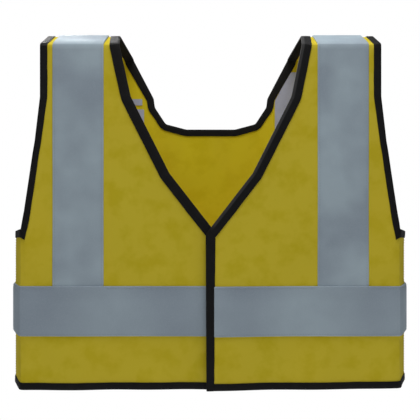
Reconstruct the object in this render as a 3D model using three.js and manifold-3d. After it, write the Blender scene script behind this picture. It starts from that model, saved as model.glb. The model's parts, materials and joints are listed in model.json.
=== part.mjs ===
// High visibility vest: a short sleeveless work vest in yellow fabric, with grey reflective tape over the
// shoulders and round the body, black binding on every edge, and a front that closes with hook and loop.
//
// Millimetres, +Z up. The front faces -Y and the wearer's left side is at +X. The origin is midway between
// the two shoulder seams, on the fabric's inner face, where a hanger or the wearer's shoulders hold the vest.

import * as THREE from 'three';
import { mergeVertices } from 'three/addons/utils/BufferGeometryUtils.js';
import Module from 'manifold-3d';

const wasm = await Module();
wasm.setup();

// The body of the vest, on the fabric's inner face. Depths below are measured down from the shoulder seams.
const bodyHalfDepth = 52; // shoulder seam to the flat front, and to the flat back
const frontHalfWidth = 278.5; // half of the flat front, and of the flat back
const sideSeamOut = 21.5; // the side seams stand out this far past the flat front
const sideSeamHalfWidth = frontHalfWidth + sideSeamOut;
const vestLength = 531.5; // to the hem
const shoulderFall = 25.5; // to the fold where the shoulder turns down into the front and the back

// The neckline. The front runs down in straight cuts to a V, the back in a shallow scoop.
const neckHalfWidth = 139; // at the shoulder seam
const frontNeckUpper = { in: 21, down: 104 }; // in from the shoulder's neck edge, down from the seam
const frontNeckLower = { in: 77.5, down: 214 };
const vDepth = 292; // where the two necklines cross
const backNeckFoldIn = 12.5; // in from the neck edge, at the shoulder fold
const backNeckSide = { in: 44.5, down: 87.5 };
const backNeckCorner = { in: 46, down: 102 };
const backNeckTurn = { in: 64, down: 129.5 };
const backNeckBase = { in: 99, down: 139 };

// The armholes, the same at the front and the back.
const shoulderHalfWidth = 251; // the shoulder's outer edge
const armholeUpper = { out: 0, down: 101 }; // out from the shoulder's outer edge
const armholeMiddle = { out: 8.5, down: 166 };
const armholeLower = { out: 12, down: 183 };
const armholeDepth = 297; // at the corner of the flat front
const armholeDepthAtSeam = 301;

// The front opening. The left front laps over the right front, and each turns outwards on a fold line.
const overLap = 6; // how far the outer front runs past the middle
const underLap = 36; // how far the inner front runs past the middle, behind the outer one
const foldInFromNeck = 7; // the fold lines, in from the shoulder's neck edge
const foldHalfWidth = neckHalfWidth - foldInFromNeck;

// Layers, measured outwards from the fabric's inner face.
const gap = 0.3; // between layers that lie on each other, and between pieces cut from one sheet
const fabricThickness = 1;
const braceThickness = 1.2;
const beltThickness = 1.7;
const bindingWidth = 9.5;
const bindingInnerWall = 1;
const bindingOuterWall = 1;
const bindingHem = 2; // binding left beyond the edge of the fabric that it wraps
const tapeBase = fabricThickness + gap;
const bindingTop = tapeBase + bindingOuterWall;
const beltTopLayer = tapeBase + beltThickness;
const foldAxisOut = Math.max(bindingTop, beltTopLayer) + gap; // just outside the outermost layer

// Reflective tape.
const braceWidth = 75;
const beltWidth = 73.5;
const beltAboveHem = 78.5; // lower edge of the belt, above the hem
const beltBottom = -vestLength + beltAboveHem;
const beltTop = beltBottom + beltWidth;
const braceCentre = (neckHalfWidth + shoulderHalfWidth) / 2;

// Hook and loop closure, between the edge bindings of the two fronts.
const stripMargin = 1.5;
const stripBelowNeck = 8;
const stripAboveBelt = 5;
const lowerStripHeight = 48;

// Labels sewn to the inside of the back, beside the neck scoop.
const labelThickness = 0.6;
const sizeLabel = { width: 39, height: 10, inner: 28, top: 87.5 }; // inner is in from the neck edge
const careLabel = { width: 42, height: 46, inner: 31, top: 104 };
const facingPatch = { inner: 34.5, outer: 26, top: 44, bottom: 150 };
const facingMargin = 3; // fabric left between the facing and the neck binding

// Reaches well past the vest, for outlines and cuts that run off its edges.
const farOut = sideSeamHalfWidth + 60;
const aboveShoulder = 40;
const belowHem = 60;

const fabric = new THREE.MeshStandardMaterial({ color: 0xb8a81e, roughness: 0.85, metalness: 0 });
const reflectiveTape = new THREE.MeshStandardMaterial({ color: 0x8f9aa3, roughness: 0.45, metalness: 0.1 });
const edgeBinding = new THREE.MeshStandardMaterial({ color: 0x191919, roughness: 0.8, metalness: 0 });
const hookAndLoop = new THREE.MeshStandardMaterial({ color: 0x202022, roughness: 0.95, metalness: 0 });
const labelCloth = new THREE.MeshStandardMaterial({ color: 0xa9aeb2, roughness: 0.8, metalness: 0 });

function toSolid(geometry) {
  const bare = geometry.clone();
  bare.deleteAttribute('normal');
  bare.deleteAttribute('uv');
  const merged = mergeVertices(bare);
  const vertProperties = new Float32Array(merged.attributes.position.array);
  const triVerts = new Uint32Array(merged.index.array);
  return new wasm.Manifold(new wasm.Mesh({ numProp: 3, vertProperties, triVerts }));
}

function toGeometry(solid) {
  const mesh = solid.getMesh();
  const geometry = new THREE.BufferGeometry();
  geometry.setAttribute('position', new THREE.BufferAttribute(mesh.vertProperties, 3));
  geometry.setIndex(new THREE.BufferAttribute(mesh.triVerts, 1));
  geometry.computeVertexNormals();
  return geometry;
}

const points = (pairs) => pairs.map(([across, up]) => new THREE.Vector2(across, up));

// Moves every side of a closed outline outwards, or inwards where the distance is negative.
function offsetOutline(outline, distance) {
  const turn = Math.sign(THREE.ShapeUtils.area(outline));
  const outward = (from, to) => {
    const along = to.clone().sub(from).normalize();
    return new THREE.Vector2(along.y, -along.x).multiplyScalar(turn);
  };
  return outline.map((point, i) => {
    const before = outline[(i + outline.length - 1) % outline.length];
    const after = outline[(i + 1) % outline.length];
    const mitre = outward(before, point).add(outward(point, after));
    return point.clone().addScaledVector(mitre, (2 * distance) / mitre.lengthSq());
  });
}

// A solid with the given outline, which stands in the plane of acrossAxis and upAxis and is extruded
// square to it, to the same distance on both sides of the origin.
function prism(outline, halfDepth, acrossAxis, upAxis) {
  const shape = new THREE.Shape(outline);
  const geometry = new THREE.ExtrudeGeometry(shape, { depth: 2 * halfDepth, bevelEnabled: false });
  geometry.translate(0, 0, -halfDepth);
  const square = acrossAxis.clone().cross(upAxis);
  geometry.applyMatrix4(new THREE.Matrix4().makeBasis(acrossAxis, upAxis, square));
  return toSolid(geometry);
}

const xAxis = new THREE.Vector3(1, 0, 0);
const yAxis = new THREE.Vector3(0, 1, 0);
const zAxis = new THREE.Vector3(0, 0, 1);
const throughDepth = (outline) => prism(outline, 2 * bodyHalfDepth, xAxis, zAxis);

function block(x, y, z) {
  const geometry = new THREE.BoxGeometry(x[1] - x[0], y[1] - y[0], z[1] - z[0]);
  geometry.translate((x[0] + x[1]) / 2, (y[0] + y[1]) / 2, (z[0] + z[1]) / 2);
  return toSolid(geometry);
}

const allAcross = [-farOut, farOut];
const allDeep = [-2 * bodyHalfDepth, 2 * bodyHalfDepth];
const allHigh = [-vestLength - belowHem, aboveShoulder];

// The space inside the vest, grown by a distance: a six-sided plan under a roof that peaks at the shoulders.
function bodySpace(distance) {
  const plan = points([
    [-frontHalfWidth, -bodyHalfDepth],
    [frontHalfWidth, -bodyHalfDepth],
    [sideSeamHalfWidth, 0],
    [frontHalfWidth, bodyHalfDepth],
    [-frontHalfWidth, bodyHalfDepth],
    [-sideSeamHalfWidth, 0],
  ]);
  const profile = points([
    [-bodyHalfDepth, allHigh[0]],
    [bodyHalfDepth, allHigh[0]],
    [bodyHalfDepth, -shoulderFall],
    [0, 0],
    [-bodyHalfDepth, -shoulderFall],
  ]);
  const tower = prism(offsetOutline(plan, distance), vestLength + 2 * belowHem, xAxis, yAxis);
  const roof = prism(offsetOutline(profile, distance), farOut, yAxis, zAxis);
  return tower.intersect(roof);
}

const layer = (from, to) => bodySpace(to).subtract(bodySpace(from));

const armholeEdge = [
  [farOut, -armholeDepthAtSeam],
  [sideSeamHalfWidth, -armholeDepthAtSeam],
  [frontHalfWidth, -armholeDepth],
  [shoulderHalfWidth + armholeLower.out, -armholeLower.down],
  [shoulderHalfWidth + armholeMiddle.out, -armholeMiddle.down],
  [shoulderHalfWidth + armholeUpper.out, -armholeUpper.down],
  [shoulderHalfWidth, aboveShoulder],
];

const mirrored = (pairs) => pairs.map(([across, up]) => [-across, up]).reverse();

// How far the V falls for each millimetre across, near the middle.
const vSlope = (vDepth - frontNeckLower.down) / (neckHalfWidth - frontNeckLower.in);

// One front, seen from the front, with its opening edge lap millimetres past the middle.
function frontOutline(lap) {
  return [
    [-lap, -vestLength],
    [farOut, -vestLength],
    ...armholeEdge,
    [neckHalfWidth, aboveShoulder],
    [neckHalfWidth, -shoulderFall],
    [neckHalfWidth - frontNeckUpper.in, -frontNeckUpper.down],
    [neckHalfWidth - frontNeckLower.in, -frontNeckLower.down],
    [-lap, -vDepth - vSlope * lap],
  ];
}

function backOutline() {
  const neckEdge = [
    [neckHalfWidth, aboveShoulder],
    [neckHalfWidth, 0],
    [neckHalfWidth - backNeckFoldIn, -shoulderFall],
    [neckHalfWidth - backNeckSide.in, -backNeckSide.down],
    [neckHalfWidth - backNeckCorner.in, -backNeckCorner.down],
    [neckHalfWidth - backNeckTurn.in, -backNeckTurn.down],
    [neckHalfWidth - backNeckBase.in, -backNeckBase.down],
  ];
  const half = [[farOut, -vestLength], ...armholeEdge, ...neckEdge];
  return [...half, ...mirrored(half)];
}

const fabricLayer = layer(0, fabricThickness);
const grooveLayer = layer(-gap, fabricThickness + gap);
const bindingLayer = layer(-gap - bindingInnerWall, bindingTop);
const braceLayer = layer(tapeBase, tapeBase + braceThickness);
const beltLayer = layer(tapeBase, beltTopLayer);

// The fabric of a panel, cut a little short of its finished outline.
const cutFabric = (outline) => fabricLayer.intersect(throughDepth(offsetOutline(outline, -bindingHem)));

// The binding round a panel's outline, with the groove that the fabric's edge sits in.
function bindEdges(outline) {
  const band = throughDepth(outline).subtract(throughDepth(offsetOutline(outline, -bindingWidth)));
  const groove = grooveLayer.intersect(throughDepth(offsetOutline(outline, gap - bindingHem)));
  return bindingLayer.intersect(band).subtract(groove);
}

// Tape stays inside the bindings of the panel that it is sewn to.
const insideBindings = (outline) => throughDepth(offsetOutline(outline, -bindingWidth - gap));

const outlines = {
  left: points(frontOutline(overLap)),
  right: points(mirrored(frontOutline(underLap))),
  back: points(backOutline()),
};

const frontHalf = block(allAcross, [allDeep[0], -gap / 2], allHigh);
const backHalf = block(allAcross, [gap / 2, allDeep[1]], allHigh);
const frontToSeam = block(allAcross, [allDeep[0], 0], allHigh);
const seamToBack = block(allAcross, [0, allDeep[1]], allHigh);
const beltBand = block(allAcross, allDeep, [beltBottom, beltTop]);
const aboveBelt = block(allAcross, allDeep, [beltTop + gap, allHigh[1]]);

// From x = from outwards on one side of the vest. A negative value runs on past the middle.
function outwards(side, from, to = farOut) {
  const x = side > 0 ? [from, to] : [-to, -from];
  return block(x, allDeep, allHigh);
}

const vest = new THREE.Group();

function addPiece(name, solid, material, parent = vest) {
  const geometry = toGeometry(solid);
  geometry.translate(-parent.position.x, -parent.position.y, -parent.position.z);
  const piece = new THREE.Mesh(geometry, material);
  piece.name = name;
  parent.add(piece);
}

// The outer front leans forward from its fold line, so that it clears the inner front's edge and belt.
const lapRise = Math.max(bindingTop, beltTopLayer) + bindingInnerWall + gap;
const overTilt = Math.asin(lapRise / (foldHalfWidth - underLap));

const sides = [
  { name: 'left', side: 1, lap: overLap, tilt: overTilt },
  { name: 'right', side: -1, lap: underLap, tilt: 0 },
];

const flaps = {};
for (const { name, side, tilt } of sides) {
  const flap = new THREE.Group();
  flap.position.set(side * foldHalfWidth, -bodyHalfDepth - foldAxisOut, 0);
  flap.rotation.z = side * tilt;
  vest.add(flap);
  flaps[name] = flap;
}

// The back and the two fronts, with the part of each front that turns on the fold line as its own flap.
addPiece('back_panel', cutFabric(outlines.back).intersect(backHalf), fabric);
for (const { name, side } of sides) {
  const front = cutFabric(outlines[name]).intersect(frontHalf);
  const fixedPart = outwards(side, foldHalfWidth + gap / 2);
  const flapPart = outwards(side, -farOut, foldHalfWidth - gap / 2);
  addPiece(`${name}_front_panel`, front.intersect(fixedPart), fabric);
  addPiece(`${name}_front_flap`, front.intersect(flapPart), fabric, flaps[name]);
}

// Binding. The neck and the hem each have one long binding that ends at the fold lines, and each flap's
// own binding carries on from it, down the V, down the opening edge and along the hem.
const backBinding = bindEdges(outlines.back).intersect(seamToBack);
const fixedFrontBindings = sides.map(({ name, side }) =>
  bindEdges(outlines[name]).intersect(frontToSeam).intersect(outwards(side, foldHalfWidth + gap / 2)),
);
const fixedBinding = backBinding.add(fixedFrontBindings[0]).add(fixedFrontBindings[1]);
const betweenBraces = [-braceCentre, braceCentre];
const aboveSides = [-armholeDepth - beltAboveHem, aboveShoulder];
const nearHem = [allHigh[0], -vestLength + 2 * bindingWidth];
addPiece('neck_binding', fixedBinding.intersect(block(betweenBraces, allDeep, aboveSides)), edgeBinding);
addPiece('hem_binding', fixedBinding.intersect(block(allAcross, allDeep, nearHem)), edgeBinding);
for (const { name, side } of sides) {
  const armhole = outwards(side, braceCentre).intersect(block(allAcross, allDeep, aboveSides));
  addPiece(`${name}_armhole_binding`, fixedBinding.intersect(armhole), edgeBinding);
  const flapPart = outwards(side, -farOut, foldHalfWidth - gap / 2).intersect(frontHalf);
  addPiece(`${name}_flap_binding`, bindEdges(outlines[name]).intersect(flapPart), edgeBinding, flaps[name]);
}

// Reflective tape: a brace over each shoulder that runs down to the belt, and the belt in five lengths.
addPiece('back_belt_tape', beltLayer.intersect(beltBand).intersect(backHalf), reflectiveTape);
const backRoom = insideBindings(outlines.back).intersect(seamToBack);
for (const { name, side } of sides) {
  const room = insideBindings(outlines[name]).intersect(frontToSeam).add(backRoom);
  const acrossBrace = outwards(side, braceCentre - braceWidth / 2, braceCentre + braceWidth / 2);
  const brace = braceLayer.intersect(room).intersect(acrossBrace).intersect(aboveBelt);
  addPiece(`${name}_brace_tape`, brace, reflectiveTape);
  const belt = beltLayer.intersect(beltBand).intersect(frontHalf).intersect(insideBindings(outlines[name]));
  const fixedPart = outwards(side, foldHalfWidth + gap / 2);
  const flapPart = outwards(side, -farOut, foldHalfWidth - gap / 2);
  addPiece(`${name}_belt_tape`, belt.intersect(fixedPart), reflectiveTape);
  addPiece(`${name}_flap_belt_tape`, belt.intersect(flapPart), reflectiveTape, flaps[name]);
}

// Hook strips on the inner front's face and loop strips behind the outer front. Each takes half of the
// room that is left between the two fronts at the side where they are closest.
const stripInner = underLap - bindingWidth - stripMargin;
const stripOuter = -overLap + bindingWidth + stripMargin;
const depthToShare = (foldHalfWidth - stripInner) * Math.sin(overTilt) - tapeBase - 2 * gap;
const stripThickness = depthToShare / 2;
const hookLayer = layer(tapeBase, tapeBase + stripThickness);
const loopLayer = layer(-gap - stripThickness, -gap);
const neckEndOfLap = -vDepth - vSlope * underLap - stripBelowNeck;
const lowerStripMiddle = (beltBottom - vestLength + bindingWidth) / 2;
const strips = {
  upper: [beltTop + stripAboveBelt, neckEndOfLap],
  lower: [lowerStripMiddle - lowerStripHeight / 2, lowerStripMiddle + lowerStripHeight / 2],
};
for (const [name, high] of Object.entries(strips)) {
  const strip = block([stripOuter, stripInner], [allDeep[0], 0], high);
  addPiece(`${name}_hook_strip`, hookLayer.intersect(strip), hookAndLoop, flaps.right);
  addPiece(`${name}_loop_strip`, loopLayer.intersect(strip), hookAndLoop, flaps.left);
}

// Labels on the inner face of the back: two on the wearer's right, and a grey facing on the left.
const labelLayer = layer(-gap - labelThickness, -gap).intersect(backHalf);
function addLabel(name, { width, height, inner, top }) {
  const innerEdge = -neckHalfWidth + inner;
  const cloth = block([innerEdge - width, innerEdge], allDeep, [-top - height, -top]);
  addPiece(name, labelLayer.intersect(cloth), labelCloth);
}
addLabel('size_label', sizeLabel);
addLabel('care_label', careLabel);
const facingAcross = [neckHalfWidth - facingPatch.inner, neckHalfWidth + facingPatch.outer];
const facing = block(facingAcross, allDeep, [-facingPatch.bottom, -facingPatch.top]);
const clearOfNeck = throughDepth(offsetOutline(outlines.back, -bindingWidth - facingMargin));
addPiece('neck_facing_patch', labelLayer.intersect(facing).intersect(clearOfNeck), labelCloth);

export default vest;
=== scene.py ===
import json
import math

import bpy
import numpy as np
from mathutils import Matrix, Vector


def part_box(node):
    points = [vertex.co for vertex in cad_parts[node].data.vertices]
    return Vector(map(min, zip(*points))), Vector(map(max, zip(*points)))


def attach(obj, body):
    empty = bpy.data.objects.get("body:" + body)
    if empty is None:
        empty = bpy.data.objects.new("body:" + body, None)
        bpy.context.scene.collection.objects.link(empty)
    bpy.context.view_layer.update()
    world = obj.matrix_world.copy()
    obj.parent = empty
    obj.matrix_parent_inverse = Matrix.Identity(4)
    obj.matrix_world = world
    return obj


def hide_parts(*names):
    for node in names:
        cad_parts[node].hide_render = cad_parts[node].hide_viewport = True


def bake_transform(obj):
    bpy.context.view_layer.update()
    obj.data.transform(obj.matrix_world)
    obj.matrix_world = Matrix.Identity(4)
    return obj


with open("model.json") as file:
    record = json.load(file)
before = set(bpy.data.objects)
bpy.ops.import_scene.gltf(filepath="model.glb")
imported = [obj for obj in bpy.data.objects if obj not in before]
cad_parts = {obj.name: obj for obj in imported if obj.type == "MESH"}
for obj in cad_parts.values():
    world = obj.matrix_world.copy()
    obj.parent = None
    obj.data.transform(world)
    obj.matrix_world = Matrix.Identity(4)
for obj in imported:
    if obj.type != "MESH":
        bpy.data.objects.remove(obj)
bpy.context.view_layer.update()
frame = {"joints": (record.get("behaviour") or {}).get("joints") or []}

mm = 0.001


def boxOf(node):
    low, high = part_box(node)
    return np.array(low), np.array(high)


def jointOf(name):
    return next(joint for joint in frame["joints"] if joint["name"] == name)


def smooth(x, start, end):  # 0 before start, 1 after end, eased between
    k = np.clip((np.asarray(x, float) - start) / (end - start), 0, 1)
    return k * k * (3 - 2 * k)


def within(x, low, high, outside, inside=0.0):  # 1 from low to high, eased over a little at each end
    return smooth(x, low - outside, low + inside) * (1 - smooth(x, high - inside, high + outside))


class Wire:  # an output of a shader node; arithmetic on it adds Math nodes
    def __init__(self, look, socket):
        self.look, self.socket = look, socket

    def __add__(self, other):
        return self.look.maths("ADD", self, other)

    def __radd__(self, other):
        return self.look.maths("ADD", other, self)

    def __sub__(self, other):
        return self.look.maths("SUBTRACT", self, other)

    def __rsub__(self, other):
        return self.look.maths("SUBTRACT", other, self)

    def __mul__(self, other):
        return self.look.maths("MULTIPLY", self, other)

    def __rmul__(self, other):
        return self.look.maths("MULTIPLY", other, self)


class Tree:  # shader nodes, added one by one
    def __init__(self, owner):
        owner.use_nodes = True
        self.tree = owner.node_tree
        self.tree.nodes.clear()

    def plug(self, socket, value):
        if isinstance(value, Wire):
            self.tree.links.new(value.socket, socket)
        else:
            socket.default_value = value

    def node(self, kind, settings=None, sockets=None, output=0):
        made = self.tree.nodes.new(kind)
        for key, value in (settings or {}).items():
            if key == "stops":
                ramp = made.color_ramp
                while len(ramp.elements) < len(value):
                    ramp.elements.new(0.5)
                for element, (place, colour) in zip(ramp.elements, value):
                    element.position, element.color = place, colour
            else:
                setattr(made, key, value)
        for key, value in (sockets or {}).items():
            self.plug(made.inputs[key], value)
        return Wire(self, made.outputs[output]) if made.outputs else None

    def maths(self, operation, a, b=0.0, clamp=False):
        return self.node("ShaderNodeMath", {"operation": operation, "use_clamp": clamp}, {0: a, 1: b})

    def clamped(self, value, times):  # value * times, kept between 0 and 1
        return self.maths("MULTIPLY", value, times, clamp=True)

    def part(self, where, k):  # x, y or z, by number
        return self.node("ShaderNodeSeparateXYZ", {}, {0: where}, output=k)

    def mix(self, amount, a, b, how="MIX"):  # of two colours
        settings = {"data_type": "RGBA", "blend_type": how}
        return self.node("ShaderNodeMix", settings, {0: amount, 6: a, 7: b}, output=2)


class Look(Tree):  # a material
    def __init__(self, name, finish):
        self.material = bpy.data.materials.new(name)
        super().__init__(self.material)
        surface = self.node("ShaderNodeBsdfPrincipled", {}, finish)
        self.node("ShaderNodeOutputMaterial", {}, {"Surface": surface})
        self.inputs = surface.socket.node.inputs

    def ramp(self, value, *stops):
        stops = [(place, (shade, shade, shade, 1)) for place, shade in stops]
        return self.node("ShaderNodeValToRGB", {"stops": stops}, {0: value})

    def cloth(self):  # flat cloth coordinates, in metres
        return self.node("ShaderNodeUVMap", {"uv_map": "cloth"})

    def stretched(self, where, across, along, turn=0.0):
        sockets = {0: where, 2: (0, 0, turn), 3: (across, along, 1)}
        return self.node("ShaderNodeMapping", {"vector_type": "POINT"}, sockets)

    def noise(self, where, scale, detail=3.0, rough=0.55):
        sockets = {"Vector": where, "Scale": scale, "Detail": detail, "Roughness": rough}
        return self.node("ShaderNodeTexNoise", {}, sockets)

    def stripes(self, where, direction, pitch, warp=0.0):
        settings = {"wave_type": "BANDS", "bands_direction": direction, "wave_profile": "SIN"}
        scale = math.tau / 20 / pitch  # the node's wave is tau / 20 long at a scale of 1
        sockets = {"Vector": where, "Scale": scale, "Distortion": warp, "Detail Scale": 1.0}
        return self.node("ShaderNodeTexWave", settings, sockets, output=1)

    def bumps(self, height, strength, distance):
        sockets = {"Strength": strength, "Distance": distance, "Height": height}
        self.plug(self.inputs["Normal"], self.node("ShaderNodeBump", {}, sockets))

    def colour(self, value):
        self.plug(self.inputs["Base Color"], value)

    def roughness(self, value):
        self.plug(self.inputs["Roughness"], value)


vestCloth = {
    "colour": (0.70, 0.56, 0.040, 1),
    "shade": (0.615, 0.485, 0.014, 1),
    "warm": (0.72, 0.54, 0.034, 1),
    # the inside faces: the same knit painted lighter and more saturated, painted light in place of the
    # shade inside the vest
    "insideLitColour": (0.84, 0.68, 0.022, 1),
    "insideLitDarker": (0.76, 0.60, 0.010, 1),
    "roughness": 0.85,
    "knitPitch": 1.3 * mm,
    "patchScale": 30.0,
    "streakScale": (9, 5),
    "patchy": 0.75,
    "streaky": 0.35,
    "porous": 0.2,
}


def fabricLook(name, colour, shadeColour):
    look = Look(name, {"Specular IOR Level": 0.1})
    cloth = look.cloth()
    patches = look.ramp(look.noise(cloth, vestCloth["patchScale"]), (0.46, 0), (0.64, 1))
    streaked = look.stretched(cloth, *vestCloth["streakScale"])
    streaks = look.ramp(look.noise(streaked, 1.0), (0.42, 0), (0.72, 1))
    ribs = look.stripes(cloth, "X", vestCloth["knitPitch"])
    rows = look.stripes(cloth, "Y", vestCloth["knitPitch"])
    knit = ribs * 0.6 + rows * 0.4
    pores = look.ramp(ribs * rows, (0.55, 0), (0.95, 1))
    shade = look.mix(patches * vestCloth["patchy"], colour, shadeColour)
    shade = look.mix(streaks * vestCloth["streaky"], shade, vestCloth["warm"])
    look.colour(look.mix(pores * vestCloth["porous"], shade, shadeColour))
    look.roughness(vestCloth["roughness"] + 0.1 * knit)
    look.bumps(knit + 0.35 * patches, 0.3, 0.3 * mm)
    return look.material


tapeCloth = {
    "colour": (0.43, 0.525, 0.585, 1),
    "shade": (0.30, 0.358, 0.425, 1),
    "glint": (0.66, 0.72, 0.76, 1),
    "beadPitch": 0.9 * mm,
    "weavePitch": 1.6 * mm,
    "beltTop": 0.414,  # drop of the belt's upper edge, beneath which a little shade is painted
    "shadeDepth": 0.022,
    "firstLightWave": 0.15,  # girth of the lightest band of the painted shade waves round the body, and how far apart they are
    "shadeWavePitch": 0.2,
}


def tapeLook(name, paintedWaves):
    # the second argument is how much painted shade runs in soft waves round the body
    look = Look(name, {"Specular IOR Level": 0.16})
    cloth = look.cloth()
    mottleAndShade = look.ramp(look.noise(cloth, 14.0, 2.0, 0.45), (0.36, 0), (0.64, 1))
    # painted shade on the belt: soft waves round the body, a band beneath its upper edge and a little more
    # over the wearer's right half
    if paintedWaves:
        girthOnly = look.part(cloth, 0)
        dropOnly = look.maths("ABSOLUTE", look.part(cloth, 1))
        shadeEnd = tapeCloth["beltTop"] + tapeCloth["shadeDepth"]
        under = look.clamped(shadeEnd - dropOnly, 0.3 / tapeCloth["shadeDepth"])
        turns = math.tau / tapeCloth["shadeWavePitch"]
        wave = look.maths("COSINE", (look.maths("ABSOLUTE", girthOnly) - tapeCloth["firstLightWave"]) * turns)
        rightHalf = look.clamped(girthOnly, -8)  # the wearer's right is in a little more shade
        mottleAndShade = mottleAndShade * (1 - paintedWaves) + (0.5 - 0.5 * wave) * paintedWaves + 0.25 * rightHalf + under
    # random darker blotches
    blotches = look.ramp(look.noise(cloth, 24.0, 4.0), (0.45, 0), (0.78, 1))
    beadSockets = {"Vector": cloth, "Scale": 1 / tapeCloth["beadPitch"]}
    beads = look.node("ShaderNodeTexVoronoi", {"feature": "F1"}, beadSockets)
    weave = look.stripes(look.stretched(cloth, 1, 1, math.radians(45)), "X", tapeCloth["weavePitch"])
    base = look.mix(mottleAndShade * 0.8, tapeCloth["colour"], tapeCloth["shade"])
    base = look.mix(blotches * 0.25, base, tapeCloth["shade"])
    look.colour(look.mix(look.ramp(beads, (0.05, 0.35), (0.4, 0)), base, tapeCloth["glint"]))
    look.roughness(0.5 + 0.16 * mottleAndShade + 0.08 * beads)
    look.bumps(0.5 * weave - beads, 0.3, 0.15 * mm)
    return look.material


bindingCloth = {
    "colour": (0.0034, 0.0032, 0.0034, 1),
    "worn": (0.0105, 0.01, 0.0105, 1),
    "foldHighlight": (0.040, 0.039, 0.039, 1),  # painted highlight along the fold, where light from the left falls on the binding's edge
    "highlightFrom": 7.4 * mm,  # this far round the folded tape
    "highlightDown": 0.365,  # and this far along it, to the tip of the V
    "ribPitch": 1.1 * mm,
}


def bindingLook(name, foldHighlight):
    look = Look(name, {"Sheen Weight": 0.01, "Sheen Roughness": 0.6, "Specular IOR Level": 0.2})
    cloth = look.cloth()
    ribs = look.stripes(cloth, "Y", bindingCloth["ribPitch"])
    fuzz = look.noise(cloth, 900.0, 2.0)
    wear = look.ramp(look.noise(cloth, 60.0, 4.0), (0.5, 0), (0.8, 1))
    shade = look.mix(wear * 0.6 + ribs * 0.25, bindingCloth["colour"], bindingCloth["worn"])
    # a painted highlight along the fold of the outer front's opening binding, where light from the left
    # falls on its edge
    if foldHighlight:
        across, along = look.part(cloth, 0), look.part(cloth, 1)
        fold = look.clamped(across - bindingCloth["highlightFrom"], 1 / mm)
        down = look.clamped(bindingCloth["highlightDown"] - along, 0.1 / mm)
        shade = look.mix(fold * down * (1 - 0.5 * wear), shade, bindingCloth["foldHighlight"])
    look.colour(shade)
    look.roughness(0.56 + 0.16 * fuzz)
    look.bumps(ribs + 0.4 * fuzz, 0.35, 0.2 * mm)
    return look.material


def threadLook(name, colour):
    look = Look(name, {"Specular IOR Level": 0.2, "Roughness": 0.6})
    twist = look.noise(look.cloth(), 1500.0, 1.0)
    look.colour(look.mix(twist, colour, tuple(0.6 * channel for channel in colour[:3]) + (1,)))
    look.bumps(twist, 0.4, 0.1 * mm)
    return look.material


pileCloth = {"colour": (0.028, 0.028, 0.03, 1), "deep": (0.006, 0.006, 0.0065, 1)}


def pileLook():
    look = Look("hook and loop", {"Sheen Weight": 0.3, "Sheen Roughness": 0.7, "Specular IOR Level": 0.2})
    cloth = look.cloth()
    tufts = look.noise(cloth, 1400.0, 3.0)
    tracks = look.stripes(cloth, "X", 2 * mm, 1.5)
    look.colour(look.mix(tufts, pileCloth["deep"], pileCloth["colour"]))
    look.roughness(0.8 + 0.15 * tufts)
    look.bumps(tufts + 0.5 * tracks, 0.8, 0.5 * mm)
    return look.material


labelCloth = {"colour": (0.50, 0.53, 0.70, 1), "shade": (0.42, 0.445, 0.60, 1)}


def labelLook():
    look = Look("label cloth", {"Specular IOR Level": 0.35})
    cloth = look.cloth()
    satin = look.stripes(cloth, "Y", 1.2 * mm)
    smudge = look.ramp(look.noise(cloth, 70.0, 3.0), (0.4, 0), (0.75, 1))
    look.colour(look.mix(smudge * 0.7 + satin * 0.15, labelCloth["colour"], labelCloth["shade"]))
    look.roughness(0.58 + 0.18 * smudge)
    look.bumps(satin, 0.25, 0.1 * mm)
    return look.material


looks = {  # each with the record's slot that it belongs to
    "fabric": (fabricLook("yellow knit", vestCloth["colour"], vestCloth["shade"]), "yellow_fabric"),
    # the inside faces: the knit with painted light
    "fabricInsideLit": (fabricLook("yellow knit, inside, painted lighter", vestCloth["insideLitColour"],
                                vestCloth["insideLitDarker"]), "yellow_fabric"),
    "tape": (tapeLook("reflective tape", 0.0), "reflective_tape"),
    # the belt: the same tape with painted shade
    "shadedBeltTape": (tapeLook("reflective belt tape, painted shade", 0.7), "reflective_tape"),
    "binding": (bindingLook("black binding", False), "edge_binding"),
    "highlightedBinding": (bindingLook("black binding, painted highlight", True), "edge_binding"),
    "pile": (pileLook(), "hook_and_loop"),
    "label": (labelLook(), "label_cloth"),
    "yellowThread": (threadLook("yellow thread", (0.42, 0.33, 0.03, 1)), "yellow_fabric"),
    "greyThread": (threadLook("grey thread", (0.40, 0.47, 0.52, 1)), "reflective_tape"),
    "blackThread": (threadLook("black thread", (0.012, 0.012, 0.012, 1)), "edge_binding"),
}
print("finishes made")


# the form of the vest: every sewn piece lies on it

def roundedLine(corners, radii, step):
    # a line through corners, with an arc at each inner one and points no further apart than step
    corners = [np.array(corner, float) for corner in corners]
    line = [corners[0]]
    for i in range(1, len(corners) - 1):
        back, on = corners[i - 1] - corners[i], corners[i + 1] - corners[i]
        backLength, onLength = np.linalg.norm(back), np.linalg.norm(on)
        back, on = back / backLength, on / onLength
        opening = math.acos(float(np.clip(back @ on, -1, 1)))
        turn = math.pi - opening
        if radii[i] <= 0 or turn < 0.01:
            line.append(corners[i])
            continue
        reach = min(radii[i] * math.tan(turn / 2), 0.48 * backLength, 0.48 * onLength)
        radius = reach / math.tan(turn / 2)
        middle = (back + on) / np.linalg.norm(back + on)
        centre = corners[i] + middle * math.hypot(radius, reach)
        first, last = corners[i] + back * reach - centre, corners[i] + on * reach - centre
        count = 2 * int(radius * turn / step / 2) + 3  # odd, so that one point is in the middle
        for share in np.linspace(0, 1, count):
            arm = first * math.sin((1 - share) * turn) + last * math.sin(share * turn)
            line.append(centre + arm / math.sin(turn))
    line.append(corners[-1])
    dense = [line[0]]
    for a, b in zip(line, line[1:]):
        pieces = max(1, math.ceil(np.linalg.norm(b - a) / step - 1e-6))
        dense += [a + (b - a) * k / pieces for k in range(1, pieces + 1)]
    return np.array(dense)


def lengthAlong(line):
    return np.concatenate([[0], np.cumsum(np.linalg.norm(np.diff(line, axis=0), axis=1))])


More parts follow.
